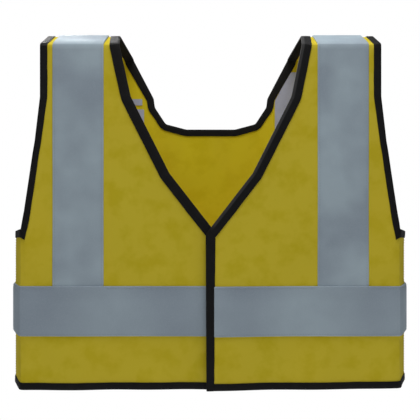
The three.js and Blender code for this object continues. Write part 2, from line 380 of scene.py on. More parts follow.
fabricSheet = 1 * mm  # the frame's fabric, whose inner face is the form
form = {
    "halfDepth": boxOf("back_panel")[1][1] - fabricSheet,
    "sideHalf": boxOf("back_belt_tape")[1][0] - 3.2 * mm,
    "flatHalf": 0.2785,
    "fall": 0.0245,  # from the shoulder seam to the fold at the front and back
    "hem": -boxOf("hem_binding")[0][2],
    "lowest": -0.7,  # the form goes on past the hem
    "sideRadius": 0.006,
    "seamRadius": 0.012,
    "foldRadius": 0.003,
    "ridgeRadius": 0.006,
    "fold": abs(jointOf("left_front_opening")["pos_m"][0]),
}

fine = 0.5 * mm
plan = roundedLine(
    [(0, form["halfDepth"]), (form["flatHalf"], form["halfDepth"]), (form["sideHalf"], 0),
     (form["flatHalf"], -form["halfDepth"])],
    [0, form["sideRadius"], form["seamRadius"], 0], fine)
plan = plan[plan[:, 1] >= -fine / 2]
plan[-1, 1] = 0
profile = roundedLine(
    [(form["halfDepth"], -form["fall"]), (0, 0), (-form["halfDepth"], -form["fall"]),
     (-form["halfDepth"], form["lowest"])],
    [0, form["ridgeRadius"], form["foldRadius"], 0], fine)
profile = profile[profile[:, 0] <= fine / 2]
profile[0, 0] = 0
girth, drop = lengthAlong(plan), lengthAlong(profile)
seamGirth = girth[-1]


def directions(line):
    along = np.gradient(line, axis=0)
    return along / np.linalg.norm(along, axis=1)[:, None]


planNormal = directions(plan)[:, ::-1] * [-1, 1]  # (out across, out in depth)
planNormal[-1] = (1, 0)
profileNormal = directions(profile)[:, ::-1] * [1, -1]  # (towards the back, up)
profileNormal[0] = (0, 1)


def girthAt(x):
    return np.sign(x) * np.interp(abs(x), plan[:, 0], girth)


def dropAt(z):
    return np.interp(-z, -profile[:, 1], drop)


hemDrop = dropAt(-form["hem"])
foldDrop = float(dropAt(-form["fall"]))
foldRows = (2.8 * mm, foldDrop - 2 * mm, foldDrop, foldDrop + 2 * mm)
beltLow, beltHigh = boxOf("back_belt_tape")
beltDrop = (dropAt(beltHigh[2]), dropAt(beltLow[2]))
lapEdge = boxOf("left_flap_binding")[0][0]  # the outer front's opening edge
underEdge = boxOf("right_flap_binding")[1][0]  # the inner front's opening edge, behind it
lapLean = -boxOf("left_front_flap")[0][1] - form["halfDepth"] - fabricSheet

bothSides = (("left", 1), ("right", -1))
openEdge = {"left": lapEdge, "right": underEdge}

drapeOf = {
    "body": 1.1 * mm,  # long soft waves between the braces and the front opening
    "bodyWave": (0.23, 0.47),  # how long they are, round and down
    "hem": 1.3 * mm,  # short waves that grow towards the hem
    "hemWave": 0.118,
    "drag": 0.55 * mm,  # faint slanting drag lines
    "dragWave": 0.135,
    "calm": 0.65,  # the belt holds this much of the waves down
    "lapSwing": 4.0 * mm,  # the outer front hangs this much further forward at the hem
    "sideBow": 2.6 * mm,  # the stiff belt bows out round the side seams
    "askew": -1.1 * mm,  # the sides hang a little off centre
    "hike": 2.2 * mm,  # and the wearer's left side sits a little higher at the hem
    "droop": 0.9 * mm,  # and the other side a little lower
}


def drape(sheet, s, t):  # how far the cloth stands off the form
    phase = {"back": 2.1, "left": 0.0, "right": 0.0}[sheet]
    free = 1 - smooth(abs(s), form["flatHalf"] - 0.05, seamGirth - 0.01)
    below = smooth(t, 0.1, 0.26)
    calm = 1 - drapeOf["calm"] * within(t, *beltDrop, 0.03)
    roundWave, downWave = drapeOf["bodyWave"]
    body = np.sin(math.tau * s / roundWave + 0.9 + phase) * np.cos(math.tau * t / downWave + 0.4 * phase)
    hem = np.sin(math.tau * s / drapeOf["hemWave"] + 1.7 * phase) * smooth(t, beltDrop[1] - 0.02, hemDrop)
    drag = np.sin(math.tau * (0.8 * abs(s) + 0.6 * t) / drapeOf["dragWave"] + phase)
    waves = drapeOf["body"] * body * calm + drapeOf["hem"] * hem + drapeOf["drag"] * drag * calm
    side = smooth(abs(s), form["flatHalf"] - 0.03, seamGirth - 0.03)
    return free * below * waves + drapeOf["sideBow"] * within(t, *beltDrop, 0.004, 0.004) * side


def onVest(sheet, s, t, lift=0.0):
    # the point at girth s and drop t on a sheet, lifted off its inner face: sheet is back, left or right
    s, t, lift = np.broadcast_arrays(np.asarray(s, float), np.asarray(t, float), np.asarray(lift, float))
    front = 1.0 if sheet != "back" else -1.0
    round_, side = np.clip(abs(s), 0, seamGirth), np.where(s < 0, -1.0, 1.0)
    across = np.interp(round_, girth, plan[:, 0]) * side
    depth = np.interp(round_, girth, plan[:, 1])
    reach = -np.interp(t, drop, profile[:, 0]) / form["halfDepth"]
    outAcross = np.interp(round_, girth, planNormal[:, 0]) * side
    outDepth = np.interp(round_, girth, planNormal[:, 1])
    slopeOut = -np.interp(t, drop, profileNormal[:, 0])
    slopeUp = np.interp(t, drop, profileNormal[:, 1])
    normal = np.stack([outAcross, -front * outDepth * slopeOut, slopeUp * outDepth], axis=-1)
    normal /= np.linalg.norm(normal, axis=-1)[..., None]
    place = np.stack([across, -front * depth * reach, np.interp(t, drop, profile[:, 1])], axis=-1)
    place = place + normal * (lift + drape(sheet, s, t))[..., None]
    place[..., 0] += drapeOf["askew"] * smooth(abs(s), 0.24, 0.29) * smooth(t, 0.315, 0.36)
    hike = drapeOf["hike"] * smooth(s, 0.18, 0.29) - drapeOf["droop"] * smooth(-s, 0.12, 0.2)
    place[..., 2] += hike * smooth(t, beltDrop[1] - 0.02, hemDrop)
    if sheet == "left":
        inwards = np.clip((form["fold"] - s) / (form["fold"] - lapEdge), 0, 1.2)
        eased = inwards - 0.06 * (1 - np.exp(-inwards / 0.06))
        swing = drapeOf["lapSwing"] * inwards ** 1.6 * smooth(t, 0.2, hemDrop)
        place[..., 1] -= lapLean * eased + swing
    return place


# the cut: outlines in girth and drop

cut = {
    "frontNeck": [(0.1395, 0), (0.134, -0.0255), (0.1175, -0.1005), (0.0605, -0.2135), (0, -0.292)],
    "backNeck": [(0.1395, 0), (0.1245, -0.0255), (0.0922, -0.087), (0.0905, -0.101), (0.0728, -0.128),
                 (0.0395, -0.1368), (0, -0.1368)],
    "armhole": [(0.251, 0), (0.251, -0.0255), (0.251, -0.101), (0.2587, -0.166), (0.2617, -0.183),
                (0.2782, -0.2956)],
    "underarmDrop": 0.2998,
    "neckSlope": 0.078 / 0.0615,  # how steeply the V runs down near the middle
    "leftWider": 1.3 * mm,  # the outer front's neck edge sits this much further out
    "openingSlant": 1.2 * mm,  # and its opening edge leans over by this much at the top
    "neckRadius": 0.012,
    "scoopRadius": 0.007,
    "armholeRadius": 0.02,
    "cornerRadius": 0.0015,
    "tipRadius": 0.014,
    "foldRadius": 0.01,  # where a cut edge comes off the shoulder
    "lineStep": 1 * mm,
    "step": 5 * mm,
}


def flattened(places):
    return [(float(girthAt(x)), float(dropAt(z))) for x, z in places]


def cutLine(corners, *radii):
    return roundedLine(corners, [0, cut["foldRadius"], *radii, 0], cut["lineStep"])


def frontNeckCorners(lap, wider):
    # down from the shoulder seam to the opening edge, which is lap past the middle
    top, fold, bend, low, tip = cut["frontNeck"]
    bend, low = (bend[0] + wider, bend[1]), (low[0] + wider, low[1])
    return flattened([top, fold, bend, low, (-lap, tip[1] - cut["neckSlope"] * (lap + wider))])


def frontNeckLine(lap, wider):
    return cutLine(frontNeckCorners(lap, wider), cut["neckRadius"], cut["neckRadius"])


backNeckLine = cutLine(flattened(cut["backNeck"]), cut["foldRadius"], *[cut["scoopRadius"]] * 3)
armholeCorners = flattened(cut["armhole"])
armholeCorners.append((seamGirth, float(dropAt(-cut["underarmDrop"]))))
armholeLine = cutLine(armholeCorners, *[cut["armholeRadius"]] * 3, cut["cornerRadius"])


def between(low, high, step, *exact):
    # even steps from low to high, with the exact places among them
    stops = sorted({low, high, *[place for place in exact if low < place < high]})
    out = [low]
    for a, b in zip(stops, stops[1:]):
        count = max(1, round((b - a) / step))
        out += [a + (b - a) * k / count for k in range(1, count + 1)]
    return np.array(out)


def addMesh(name, points, faces, look, cloth, crease=32):
    mesh = bpy.data.meshes.new(name)
    faces = [tuple(int(i) for i in face) for face in faces]
    mesh.from_pydata([tuple(point) for point in points], [], faces)
    mesh.validate()
    corners = np.empty(len(mesh.loops), int)
    mesh.loops.foreach_get("vertex_index", corners)
    mesh.uv_layers.new(name="cloth").data.foreach_set("uv", np.asarray(cloth, float)[corners].ravel())
    mesh.shade_smooth()
    mesh.set_sharp_from_angle(angle=math.radians(crease))
    material, slot = looks[look]
    mesh.materials.append(material)
    piece = bpy.data.objects.new(name, mesh)
    bpy.context.collection.objects.link(piece)
    return piece


def blockOf(sheet, grid, inner, outer):
    # one patch of a piece: a grid of (girth, drop) places, row by row down and column by column
    # across, with the lifts of its two faces
    flat = np.array(grid, float)
    rows, columns = flat.shape[:2]
    i, j = np.meshgrid(np.arange(rows - 1), np.arange(columns - 1), indexing="ij")
    corner = i * columns + j
    quads = np.stack([corner, corner + columns, corner + columns + 1, corner + 1], axis=-1).reshape(-1, 4)
    backward = (flat[0, -1, 0] < flat[0, 0, 0]) != (sheet == "back")
    quads = quads[:, ::-1] if backward else quads
    inner, outer = (np.broadcast_to(lift, (rows, columns)).ravel() for lift in (inner, outer))
    return sheet, flat.reshape(-1, 2), quads, inner, outer


def thicken(name, blocks, look, inside=None):
    # a closed sheet of two faces and a rim, from blocks that share the places where they meet
    def layer(lifts):  # all the blocks' points, at their own lifts
        return np.concatenate([onVest(block[0], *block[1].T, lift) for block, lift in zip(blocks, lifts)])

    middle = layer([0] * len(blocks))
    keys = np.floor(middle / (2 * mm / 1000) + 0.37).astype(np.int64)  # the same where points meet
    _, first, merged = np.unique(keys, axis=0, return_index=True, return_inverse=True)
    merged = merged.ravel()
    starts = np.cumsum([0] + [len(block[1]) for block in blocks])
    quads = merged[np.concatenate([block[2] + start for block, start in zip(blocks, starts)])]
    inner, outer = (layer(lifts)[first] for lifts in zip(*[block[3:] for block in blocks]))
    cloth = np.concatenate([block[1] * [1, -1 if block[0] == "back" else 1] for block in blocks])[first]
    count = len(first)
    edges = {(a, b) for quad in quads for a, b in zip(quad, np.roll(quad, -1))}
    rim = sorted((a, b) for a, b in edges if (b, a) not in edges)
    polygons = [tuple(quad) for quad in quads] + [tuple(quad[::-1] + count) for quad in quads]
    polygons += [(b, a, a + count, b + count) for a, b in rim]
    piece = addMesh(name, np.concatenate([outer, inner]), polygons, look, np.concatenate([cloth, cloth]))
    if inside:
        piece.data.materials.append(looks[inside][0])
        for polygon in piece.data.polygons[len(quads):2 * len(quads)]:
            polygon.material_index = 1
    return piece


# how pieces are held

# where a front folds back
turnZone = {"start": 0.141, "end": 0.121, "startDepth": -0.054, "endDepth": -0.060}


def hold(piece, side, *nodes):
    # side is a body to attach the piece to, or left or right for a piece whose transform is just baked
    # into its mesh
    if side in ("left", "right"):
        sign = 1 if side == "left" else -1
        side + "_flap"
        sign * turnZone["start"]
        sign * turnZone["end"]
        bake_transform(piece)
    else:
        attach(piece, side)
    if nodes:
        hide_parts(*nodes)
    return piece


# panels

panelOf = {
    "inner": 0.1 * mm,
    "outer": 0.9 * mm,
    "tuck": 2.0 * mm,  # the cloth ends this far inside its binding
    "frontColumns": 54,
    "backColumns": 36,
}
cornerGirth = armholeCorners[-2][0]
cornerDrop = float(np.interp(cornerGirth, armholeLine[:, 0], armholeLine[:, 1]))
tuck = panelOf["tuck"]
lowEnd = hemDrop - tuck
cornerStart = cornerDrop + tuck
sideColumns = between(cornerGirth, seamGirth, cut["step"])


def girthOn(line, t):  # girth of a cut edge at a drop
    return float(np.interp(t, line[:, 1], line[:, 0]))


def armholeEdge(t):
    if t >= cornerStart:
        return cornerGirth
    return girthOn(armholeLine, t) - tuck * (1 - smooth(t, 0.3, cornerStart))


def sideStrip(rows):
    # the cloth under the arm, from the armhole's corner round to the side seam
    tops = np.interp(sideColumns, armholeLine[:, 0], armholeLine[:, 1]) + tuck
    shares = (rows - rows[0]) / (rows[-1] - rows[0])
    return [[(s, top + share * (rows[-1] - top)) for s, top in zip(sideColumns, tops)] for share in shares]


def panelBlock(sheet, grid, side=1):
    grid = np.array(grid, float) * [side, 1]
    return blockOf(sheet, grid, panelOf["inner"], panelOf["outer"])


def frontPanel(sheet, lap, side, wider):
    neck = frontNeckLine(lap, wider)
    tip = neck[-1, 1] + tuck

    def openingEdge(t):
        return max(girthOn(neck, t) + tuck * (1.4 if t < neck[-1, 1] else 1), -lap + tuck)

    upper = between(0, cornerStart, cut["step"], *foldRows)
    lower = between(cornerStart, lowEnd, cut["step"], tip, *beltDrop)
    rows = np.concatenate([upper, lower[1:]])
    main = [np.linspace((openingEdge(t), t), (armholeEdge(t), t), panelOf["frontColumns"]) for t in rows]
    blocks = [panelBlock(sheet, main, side), panelBlock(sheet, sideStrip(lower), side)]
    return thicken(sheet + "_front_cloth", blocks, "fabric", "fabricInsideLit")


def backPanel():
    turnGirth = 0.08  # where the scoop of the neck turns to run across
    turnDrop = float(np.interp(turnGirth, backNeckLine[::-1, 0], backNeckLine[::-1, 1])) + tuck

    def neckEdge(t):
        if t >= turnDrop:
            return turnGirth
        return girthOn(backNeckLine, t) + tuck * (1 - smooth(t, turnDrop - 0.02, turnDrop))

    upper = between(0, turnDrop, cut["step"], *foldRows)
    middle = between(turnDrop, cornerStart, cut["step"])
    lower = between(cornerStart, lowEnd, cut["step"], *beltDrop)
    rows = np.concatenate([upper, middle[1:], lower[1:]])
    main = [np.linspace((neckEdge(t), t), (armholeEdge(t), t), panelOf["backColumns"]) for t in rows]
    columns = between(-turnGirth, turnGirth, cut["step"])
    tops = np.interp(abs(columns), backNeckLine[::-1, 0], backNeckLine[::-1, 1]) + tuck
    shares = (rows[len(upper) - 1:] - turnDrop) / (lowEnd - turnDrop)
    centre = [[(s, top + share * (lowEnd - top)) for s, top in zip(columns, tops)] for share in shares]
    blocks = [panelBlock("back", centre)]
    for side in (1, -1):
        blocks += [panelBlock("back", main, side), panelBlock("back", sideStrip(lower), side)]
    return thicken("back_cloth", blocks, "fabric", "fabricInsideLit")


backCloth = hold(backPanel(), "root", "back_panel")
leftCloth = hold(frontPanel("left", -lapEdge, 1, cut["leftWider"]), "left",
                 "left_front_panel", "left_front_flap")
rightCloth = hold(frontPanel("right", underEdge, -1, 0), "right",
                  "right_front_panel", "right_front_flap")
print("panels cut:", *[len(cloth.data.polygons) for cloth in (backCloth, leftCloth, rightCloth)])


# tracks: the lines on the vest that binding and stitches follow

class Track:
    def __init__(self, sheet, flat, inward, mitre):
        self.sheet, self.flat, self.inward, self.mitre = sheet, flat, inward, mitre

    def at(self, inwards, lift):  # points moved into the cloth, and lifted off it
        flat = self.flat + self.inward * (np.asarray(inwards) * self.mitre).reshape(-1, 1)
        lift = np.broadcast_to(lift, (len(flat),))
        out = np.empty((len(flat), 3))
        for sheet in sorted(set(self.sheet)):
            here = self.sheet == sheet
            out[here] = onVest(sheet, flat[here, 0], flat[here, 1], lift[here])
        return out

    def length(self):
        return lengthAlong(self.at(0, 0))

    def spaced(self, step, trim=0.0, corners=False):
        # points about step apart, from trim inside one end to trim inside the other
        run = self.length()
        wanted = np.linspace(trim, run[-1] - trim, max(2, round((run[-1] - 2 * trim) / step) + 1))
        if corners:  # keep every point of a mitred corner
            sharp = run[self.mitre > 1.001]
            wanted = wanted[[not len(sharp) or abs(sharp - at).min() > 0.4 * step for at in wanted]]
            wanted = np.unique(np.concatenate([wanted, sharp]))
        near = np.clip(np.searchsorted(run, wanted), 1, len(run) - 1)
        share = (wanted - run[near - 1]) / np.maximum(run[near] - run[near - 1], 1e-9)
        share = np.where(self.sheet[near] == self.sheet[near - 1], share, np.round(share))[:, None]
        inward = self.inward[near - 1] * (1 - share) + self.inward[near] * share
        return Track(np.where(share[:, 0] < 0.5, self.sheet[near - 1], self.sheet[near]),
                     self.flat[near - 1] * (1 - share) + self.flat[near] * share,
                     inward / np.linalg.norm(inward, axis=1)[:, None],
                     self.mitre[near - 1] * (1 - share[:, 0]) + self.mitre[near] * share[:, 0])


def mitre(line, along, reach=6 * mm):
    # how much further a binding reaches at each point, so that it comes to a point at a sharp corner
    run = lengthAlong(line)
    before, after = ([np.interp(np.clip(run + way, 0, run[-1]), run, along[:, k]) for k in (0, 1)]
                     for way in (-reach, reach))
    before, after = (np.stack(way, axis=1) / np.linalg.norm(way, axis=0)[:, None]
                     for way in (before, after))
    turn = np.arccos(np.clip((before * after).sum(axis=1), -1, 1))
    bisector = before + after
    off = np.arccos(np.clip((bisector * along).sum(axis=1) / np.linalg.norm(bisector, axis=1), -1, 1))
    return np.where(turn > math.radians(50), 1 / np.cos(np.clip(turn / 2 - off, 0, 1.1)), 1)


def trackOf(*stretches):
    # each stretch is a sheet, a line of (girth, drop) and +1 or -1 for the side that the cloth is on
    sheets, flats, inwards, mitres = [], [], [], []
    for sheet, line, side in stretches:
        along = directions(line)
        sheets += [sheet] * len(line)
        flats.append(line)
        inwards.append(np.stack([-along[:, 1], along[:, 0]], axis=1) * side)
        mitres.append(mitre(line, along))
    return Track(np.array(sheets), np.concatenate(flats), np.concatenate(inwards), np.concatenate(mitres))


def mirrored(line):
    return line * [-1, 1]


def straight(a, b):
    return roundedLine([a, b], [0, 0], 1.5 * mm)


def openingLine(lap, wider=0.0, slant=0.0):
    # a front's whole free edge: down the neck, round the tip of the V and down to the hem
    corners = frontNeckCorners(lap + slant, wider) + [(-lap, hemDrop)]
    return cutLine(corners, cut["neckRadius"], cut["neckRadius"], cut["tipRadius"])


armholeTrack = {
    side: trackOf((side, (armholeLine * [sign, 1])[::-1], -sign), ("back", armholeLine * [sign, 1], sign))
    for side, sign in bothSides
}
# at the corner under the arm the tape's folded point hangs down: the way across the tape is turned
# from one angle to another there, and the point reaches further
armholeTip = {"from": [-90, 28, 47, 67, 83, 90], "to": [-90, 28, 71, 78, 84, 90], "reach": 1.44}
for track in armholeTrack.values():
    steep = np.degrees(np.arctan2(track.inward[:, 1], abs(track.inward[:, 0])))
    turned = np.radians(np.interp(steep, armholeTip["from"], armholeTip["to"]))
    track.inward = np.stack([np.sign(track.inward[:, 0]) * np.cos(turned), np.sin(turned)], axis=1)
    track.mitre[track.mitre > 1.2] = armholeTip["reach"]
neckTrack = trackOf(("back", np.concatenate([backNeckLine, mirrored(backNeckLine)[::-1][1:]]), -1))
openingTrack = {
    "left": trackOf(("left", openingLine(-lapEdge, cut["leftWider"], cut["openingSlant"]), -1)),
    "right": trackOf(("right", mirrored(openingLine(underEdge)), 1)),
}


def acrossTrack(sheet, low, high, t):
    return trackOf((sheet, straight((low, t), (high, t)), -1))


hemGap = 1.5 * mm  # from a front's open edge to the end of its hem binding
hemTrack = {
    "back": acrossTrack("back", -seamGirth, seamGirth, hemDrop),
    "left": acrossTrack("left", lapEdge + hemGap, seamGirth, hemDrop),
    "right": acrossTrack("right", -seamGirth, underEdge - hemGap, hemDrop),
}


# binding: a tape folded over the edge

bindingOf = {
    "width": 10.4,  # in mm, as are the places (inwards, lift) round its section
    "outerFace": [(10.4, 1.3), (10.25, 2.0), (7.0, 2.25), (3.8, 2.35), (0.9, 2.3), (0.15, 1.9), (0, 0.5),
                  (0.15, -0.85), (0.9, -1.25), (3.8, -1.35), (7.0, -1.25), (10.25, -1.0), (10.4, -0.3)],
    "innerFace": [(10.4, 1.0), (10.2, 1.0), (7.0, 1.0), (3.8, 1.0), (2.0, 0.98), (1.7, 0.8), (1.6, 0.5),
                  (1.7, 0.2), (2.0, 0.02), (3.8, 0), (7.0, 0), (10.2, 0), (10.4, 0)],
    "neckWidths": ([0.06, 0.115, 0.131, 0.147, 0.171], [14.6, 11.6, 11.4, 10.4, 10.9]),  # at drops
    "openingWidths": ([0.3, 0.56], [14.8, 11.3]),  # a front edge has a broader tape, narrower at the hem
    # at mm below the armhole's corner
    "armholeWidths": ([-203, -133, -15, -7, -0.5, -0.02, 0.38, 0.65, 0.78, 1.0, 4.6],
                      [11.0, 9.6, 9.7, 9.4, 8.7, 8.3, 12.0, 13.3, 12.7, 12.0, 10.9]),
    "ringStep": 3 * mm,
    "unevenness": 0.15 * mm,
    "unevenTurns": (190, 83),  # in radians to the metre
}


def signedVolume(points, faces):
    corners = [face[:3] for face in faces] + [(face[0], *face[2:]) for face in faces if len(face) == 4]
    a, b, c = (points[list(ends)] for ends in zip(*corners))
    return float(np.einsum("ij,ij->i", a, np.cross(b, c)).sum())


def hemWidth(s, t):  # in mm, at girths and drops along an edge
    return np.full(np.shape(t), bindingOf["width"])


def neckWidth(s, t):
    return np.interp(t, *bindingOf["neckWidths"])


def openingWidth(s, t):
    return np.interp(t, *bindingOf["openingWidths"])


def armholeWidth(s, t):
    return np.interp((t - cornerDrop) / mm, *bindingOf["armholeWidths"])


def binding(name, track, width, look="binding", closed=False, flush=1.0, seed=0):
    track = track.spaced(bindingOf["ringStep"], corners=True)
    run = track.length()
    share = width(*track.flat.T) / bindingOf["width"]
    ring = bindingOf["outerFace"] + bindingOf["innerFace"][::-1]
    half = len(bindingOf["outerFace"])
    quick, slow = bindingOf["unevenTurns"]
    uneven = bindingOf["unevenness"] * (np.sin(run * quick + seed) + np.sin(run * slow + 2 * seed)) / 2
    rows = []
    for inwards, lift in ring:
        wide = inwards * share * mm + uneven * (inwards / bindingOf["width"])
        rows.append(track.at(wide, (0.5 + (lift - 0.5) * flush) * mm))
    points = np.stack(rows, axis=1)
    if closed:
        points = points[:-1]
    count, size = points.shape[:2]
    faces = []
    for i in range(count if closed else count - 1):
        for j in range(size):
            a, b = i * size + j, i * size + (j + 1) % size
            c, d = ((i + 1) % count) * size + (j + 1) % size, ((i + 1) % count) * size + j
            faces.append((a, b, c, d))
    if not closed:
        for i in (0, count - 1):
            for j in range(half - 1):
                cap = [i * size + k for k in (j, j + 1, size - 2 - j, size - 1 - j)]
                faces.append(tuple(cap[::-1] if i == 0 else cap))
    points = points.reshape(-1, 3)
    if signedVolume(points, faces) < 0:
        faces = [face[::-1] for face in faces]
    girths = np.cumsum([0] + [math.dist(a, b) for a, b in zip(ring, ring[1:])]) * mm
    cloth = np.stack(np.meshgrid(run[:count], girths, indexing="ij"), axis=-1).reshape(-1, 2)[:, ::-1]
    return addMesh(name, points, faces, look, cloth)


hold(binding("back_neck_binding", neckTrack, neckWidth, seed=1), "root", "neck_binding")
hold(binding("back_hem_binding", hemTrack["back"], hemWidth, seed=2), "root", "hem_binding")
# the outer front's opening binding carries a painted highlight along its fold
for side, look in (("left", "highlightedBinding"), ("right", "binding")):
    edging = binding(side + "_opening_binding", openingTrack[side], openingWidth, look, flush=1.1, seed=3)
    hold(edging, side, side + "_flap_binding")
    hold(binding(side + "_hem_binding", hemTrack[side], hemWidth, seed=4), side)
    hold(binding(side + "_armhole_edging", armholeTrack[side], armholeWidth, closed=True, seed=5), "root",
         side + "_armhole_binding")
print("edges bound")


# reflective tape

tapeOf = {
    "inner": 1.0 * mm,
    "braceOuter": 2.0 * mm,
    "beltOuter": 2.6 * mm,
    "softEdge": 0.9 * mm,  # the outer face rolls off this close to an edge
    "roll": 0.65 * mm,
    "tuckUnder": 9 * mm,  # a brace runs this far beneath the belt
    "rise": 1.1 * mm,  # and the belt rises over it
    "puff": 1.6 * mm,  # a brace is fuller over the shoulder
    "fromEdge": 11 * mm,  # a front's belt starts this far from its open edge
    "column": 5 * mm,
}
braceLow, braceHigh = boxOf("left_brace_tape")
braceSpan = (braceLow[0], braceHigh[0])


def tapeBlock(sheet, sRange, tRange, outer, rise=0.0, square=()):
    # square names the ends that meet another block, where the face doesn't roll off
    soft = tapeOf["softEdge"]
    s = between(*sRange, tapeOf["column"], sRange[0] + soft, sRange[1] - soft)
    t = between(*tRange, tapeOf["column"], tRange[0] + soft, tRange[1] - soft, *foldRows)
    grid = np.stack(np.meshgrid(s, t), axis=-1)
    edge = np.zeros(grid.shape[:2], bool)
    ends = {"top": np.s_[0, :], "bottom": np.s_[-1, :], "low": np.s_[:, 0], "high": np.s_[:, -1]}
    for end, place in ends.items():
        if end not in square:
            edge[place] = True
    across, along = abs(grid[..., 0]), grid[..., 1]
    braceEnd = tRange[0] + tapeOf["tuckUnder"]
    over = rise * within(across, *braceSpan, 0.004)
    over = over * (1 - smooth(along, braceEnd, braceEnd + 1.2 * tapeOf["tuckUnder"]))
    puff = tapeOf["puff"] * (1 - smooth(along, foldDrop - 0.012, foldDrop + 0.004))
    return blockOf(sheet, grid, tapeOf["inner"] + over, outer + over + puff - tapeOf["roll"] * edge)


for side, sign in bothSides:
    span = sorted(sign * x for x in braceSpan)
    drops = (0, beltDrop[0] + tapeOf["tuckUnder"])
    blocks = [tapeBlock(sheet, span, drops, tapeOf["braceOuter"], square=("top",))
              for sheet in (side, "back")]
    hold(thicken(side + "_brace", blocks, "tape"), "root", side + "_brace_tape")
    edge = openEdge[side] + sign * tapeOf["fromEdge"]
    span = sorted([edge, sign * seamGirth])
    joined = "high" if side == "left" else "low"
    blocks = [tapeBlock(side, span, beltDrop, tapeOf["beltOuter"], tapeOf["rise"], square=(joined,))]
    belt = thicken(side + "_front_belt", blocks, "shadedBeltTape")
    hold(belt, side, side + "_belt_tape", side + "_flap_belt_tape")
blocks = [tapeBlock("back", (-seamGirth, seamGirth), beltDrop, tapeOf["beltOuter"], tapeOf["rise"],
                    square=("low", "high"))]
hold(thicken("back_belt", blocks, "shadedBeltTape"), "root", "back_belt_tape")
print("tape laid")


# hook and loop, and the labels inside the back

def roundedGrid(sRange, tRange, radius, step):
    # a grid whose rows draw in at the corners
    low, high = tRange
    t = between(low, high, step, low + radius / 3, low + radius, high - radius / 3, high - radius)
    reach = np.clip(radius - np.minimum(t - low, high - t), 0, radius)
    inset = radius - np.sqrt(np.maximum(radius ** 2 - reach ** 2, 0))
    columns = max(3, round((sRange[1] - sRange[0]) / step))
    return np.array([np.linspace((sRange[0] + d, at), (sRange[1] - d, at), columns)
                     for d, at in zip(inset, t)])


stripOf = {
    "thick": 1.4 * mm,
    "radius": 2.5 * mm,
    "gap": 1 * mm,
    "step": 0.9 * mm,
    "tuft": 0.22 * mm,
}
draw = np.random.default_rng(11)
for place in ("upper", "lower"):
    for kind, side, deep in (("hook", "right", 1), ("loop", "left", -1)):
        low, high = boxOf(f"{place}_{kind}_strip")
        drops = dropAt(high[2]), dropAt(low[2])
        clear = openingWidth(0, drops[0]) * mm + stripOf["gap"]  # of the bound edge
        if kind == "hook":
            span = low[0], min(high[0], underEdge - clear)
        else:
            span = max(low[0], lapEdge + clear), high[0]
        grid = roundedGrid(span, drops, stripOf["radius"], stripOf["step"])
        thick = stripOf["thick"]
        tufts = stripOf["tuft"] * draw.random(grid.shape[:2])
        tufts[[0, -1], :] = stripOf["tuft"] * 2
        tufts[:, [0, -1]] = stripOf["tuft"] * 2
        if deep > 0:
            blocks = [blockOf(side, grid, 0.9 * mm, 0.9 * mm + thick - tufts)]
        else:
            blocks = [blockOf(side, grid, 0.1 * mm - thick + tufts, 0.1 * mm)]
        hold(thicken(f"{place}_{kind}_pad", blocks, "pile"), side + "_flap", f"{place}_{kind}_strip")

labelOf = {
    "near": -0.25 * mm,
    "far": -0.7 * mm,
    "ripple": 0.12 * mm,
    "step": 3 * mm,
    "sizeRadius": 0.8 * mm,
    "careRadius": 2 * mm,
    "careCurl": 1.2 * mm,
    "patchGap": 12.5 * mm,  # the facing patch stops this far from the neck's edge
    "patchColumns": 18,
}


def label(name, node, grid, body, curl=0.0):
    down = (grid[..., 1] - grid[0, 0, 1]) / (grid[-1, 0, 1] - grid[0, 0, 1])
    ripple = labelOf["ripple"] * np.sin(grid[..., 0] * 260 + down * 3) * down - curl * down ** 2
    block = blockOf("back", grid, labelOf["far"] + ripple, labelOf["near"] + ripple)
    return hold(thicken(name, [block], "label"), body, node)


def nodeSpan(node):
    low, high = boxOf(node)
    return (low[0], high[0]), (dropAt(high[2]), dropAt(low[2]))


sizeGrid = roundedGrid(*nodeSpan("size_label"), labelOf["sizeRadius"], labelOf["step"])
label("size_tab", "size_label", sizeGrid, "root")
careGrid = roundedGrid(*nodeSpan("care_label"), labelOf["careRadius"], labelOf["step"])
careTab = label("care_tab", "care_label", careGrid, "care_label", curl=labelOf["careCurl"])

(patchStart, patchEnd), patchDrops = nodeSpan("neck_facing_patch")
patchEdge = backNeckLine + trackOf(("back", backNeckLine, -1)).inward * labelOf["patchGap"]
patchRows = [(max(girthOn(patchEdge, t), patchStart), t) for t in between(*patchDrops, labelOf["step"])]
patchGrid = np.array([np.linspace((start, t), (patchEnd, t), labelOf["patchColumns"])
                      for start, t in patchRows])
label("neck_facing", "neck_facing_patch", patchGrid, "root")
print("labels and fastening sewn on")


# stitches

stitchOf = {
    "length": 2.8 * mm,
    "pitch": 4.0 * mm,
    "thick": 0.3 * mm,
    "sides": 5,
    "bow": ((-0.62, 0.35), (0, 0.6), (0.62, 0.35)),  # places along half a stitch, and heights
}


